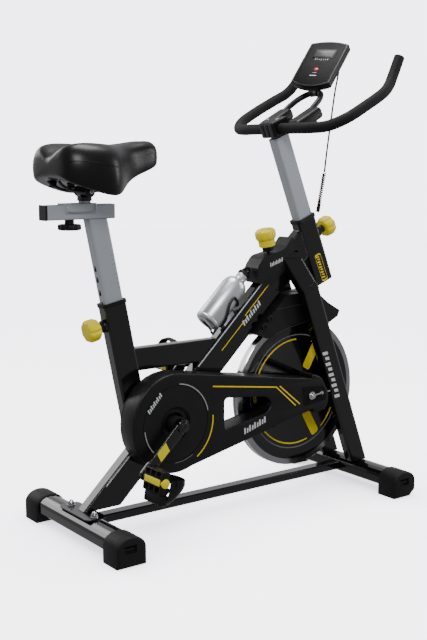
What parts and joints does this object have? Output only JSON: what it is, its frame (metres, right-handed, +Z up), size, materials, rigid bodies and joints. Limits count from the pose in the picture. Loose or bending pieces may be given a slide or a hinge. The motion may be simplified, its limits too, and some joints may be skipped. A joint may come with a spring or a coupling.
{
  "type": "exercise bike",
  "caption": "Upright indoor cycling bike: tube frame, belt-driven steel flywheel with pad brake, cranks and caged pedals, height-set saddle and handlebar with console, and a drink bottle.",
  "frame": {"origin": "on the floor, under the middle of the bike's length and width", "axes": "+X towards the front (handlebar and flywheel), +Y to the rider's left, +Z up"},
  "size_m": [1.0914, 0.532, 1.3408],
  "materials": {
    "gloss_black_paint": "gloss",
    "black_plastic": "satin",
    "black_rubber": "matte",
    "black_steel": "satin",
    "bright_steel": "polished",
    "silver_paint": "satin",
    "black_foam": "matte",
    "black_vinyl": "satin",
    "red_plastic": "gloss",
    "yellow_plastic": "satin",
    "brushed_aluminium": "brushed"
  },
  "bodies": {
    "frame": {"base_rail": "gloss_black_paint", "bottle_cage": "black_steel", "brake_housing": "black_plastic", "cover_inner": "black_plastic", "cover_outer": "black_plastic", "crank_bearing_left": "bright_steel", "crank_bearing_right": "bright_steel", "drive_belt": "black_rubber", "flywheel_axle": "bright_steel", "flywheel_guard": "black_plastic", "fork_left": "gloss_black_paint", "fork_right": "gloss_black_paint", "front_cap_left": "black_rubber", "front_cap_right": "black_rubber", "front_stabiliser": "gloss_black_paint", "head_collar": "black_plastic", "head_sleeve": "gloss_black_paint", "main_tube": "gloss_black_paint", "rear_bracket": "gloss_black_paint", "rear_cap_left": "black_rubber", "rear_cap_right": "black_rubber", "rear_stabiliser": "gloss_black_paint", "seat_collar": "black_plastic", "seat_tube": "gloss_black_paint", "tensioner_left": "bright_steel", "tensioner_right": "bright_steel"},
    "flywheel_unit": {"flywheel": "bright_steel", "flywheel_pulley": "black_steel"},
    "crank": {"crank_spindle": "bright_steel", "drive_pulley": "black_steel", "crank_left": "gloss_black_paint", "crank_right": "gloss_black_paint"},
    "right_pedal": {"pedal_right": "black_plastic", "toe_cage_right": "black_plastic"},
    "left_pedal": {"pedal_left": "black_plastic", "toe_cage_left": "black_plastic"},
    "saddle_post": {"seat_post": "silver_paint", "slider_tube": "silver_paint", "slider_end_cap": "black_plastic"},
    "carriage": {"saddle_carriage": "silver_paint"},
    "fore_aft_knob": {"slider_knob": "black_plastic"},
    "saddle": {"saddle_rails": "black_steel", "saddle_pan": "black_plastic", "saddle_cushion": "black_vinyl"},
    "handlebar_unit": {"handlebar_post": "silver_paint", "handlebar_clamp": "black_plastic", "handlebar": "black_foam", "loop_bar": "gloss_black_paint", "centre_shroud": "black_plastic", "console_case": "black_plastic", "sensor_lead": "black_plastic", "lead_coil": "black_plastic"},
    "reset_button": {"console_button": "red_plastic"},
    "rod": {"brake_rod": "bright_steel", "brake_pad": "black_rubber"},
    "resistance_knob": {"brake_knob": "yellow_plastic"},
    "seat_pin": {"seat_knob": "yellow_plastic"},
    "head_pin": {"head_knob": "yellow_plastic"},
    "drink_bottle": {"bottle": "brushed_aluminium"},
    "drink_cap": {"bottle_cap": "black_plastic"}
  },
  "joints": [
    {"name": "flywheel_spin", "type": "hinge", "parent": "frame", "child": "flywheel_unit", "pos_m": [0.2803, 0, 0.309], "axis": [0, 1, 0], "continuous": true},
    {"name": "crank_spin", "type": "hinge", "parent": "frame", "child": "crank", "pos_m": [-0.2073, 0, 0.297], "axis": [0, 1, 0], "continuous": true},
    {"name": "right_pedal_spin", "type": "hinge", "parent": "crank", "child": "right_pedal", "pos_m": [-0.32771, -0.176, 0.18273], "axis": [0, 1, 0], "continuous": true},
    {"name": "left_pedal_spin", "type": "hinge", "parent": "crank", "child": "left_pedal", "pos_m": [-0.08689, 0.121, 0.41127], "axis": [0, 1, 0], "continuous": true},
    {"name": "seat_height", "type": "slide", "parent": "frame", "child": "saddle_post", "axis": [-0.2008, 0, 0.9796], "range_m": [-0.15, 0.09]},
    {"name": "saddle_fore_aft", "type": "slide", "parent": "saddle_post", "child": "carriage", "axis": [1, 0, 0], "range_m": [-0.035, 0.012]},
    {"name": "fore_aft_knob_turn", "type": "hinge", "parent": "carriage", "child": "fore_aft_knob", "pos_m": [-0.4693, 0, 0.84], "axis": [0, 0, 1], "range_deg": [0, 720]},
    {"name": "saddle_tilt", "type": "hinge", "parent": "carriage", "child": "saddle", "pos_m": [-0.4243, 0, 0.9205], "axis": [0, 1, 0], "range_deg": [-15, 15]},
    {"name": "handlebar_height", "type": "slide", "parent": "frame", "child": "handlebar_unit", "axis": [-0.3698, 0, 0.9291], "range_m": [-0.065, 0.05], "deforming": ["lead_coil"]},
    {"name": "reset_press", "type": "slide", "parent": "handlebar_unit", "child": "reset_button", "axis": [0.6628, 0.3091, -0.682], "range_m": [0, 0.0012], "stiffness_N_per_m": 400, "springref_m": -0.003},
    {"name": "brake_press", "type": "slide", "parent": "frame", "child": "rod", "axis": [0.2195, 0, -0.9756], "range_m": [0, 0.0028], "stiffness_N_per_m": 1500, "springref_m": -0.008},
    {"name": "brake_turn", "type": "hinge", "parent": "rod", "child": "resistance_knob", "pos_m": [0.2803, 0, 0.309], "axis": [-0.2195, 0, 0.9756], "range_deg": [0, 1080]},
    {"name": "seat_pin_pull", "type": "slide", "parent": "frame", "child": "seat_pin", "axis": [-0.9796, 0, -0.2008], "range_m": [0, 0.012], "stiffness_N_per_m": 600, "springref_m": -0.008},
    {"name": "head_pin_pull", "type": "slide", "parent": "frame", "child": "head_pin", "axis": [0.9291, 0, 0.3698], "range_m": [0, 0.012], "stiffness_N_per_m": 600, "springref_m": -0.008},
    {"name": "bottle_lift", "type": "slide", "parent": "frame", "child": "drink_bottle", "axis": [-0.6925, 0, 0.7214], "range_m": [0, 0.12]},
    {"name": "bottle_cap_turn", "type": "hinge", "parent": "drink_bottle", "child": "drink_cap", "pos_m": [0.09001, 0, 0.6702], "axis": [0.7214, 0, 0.6925], "range_deg": [0, 360]}
  ],
  "couplings": [
    {"joint": "crank_spin", "follows": "flywheel_spin", "ratio": 0.25}
  ]
}
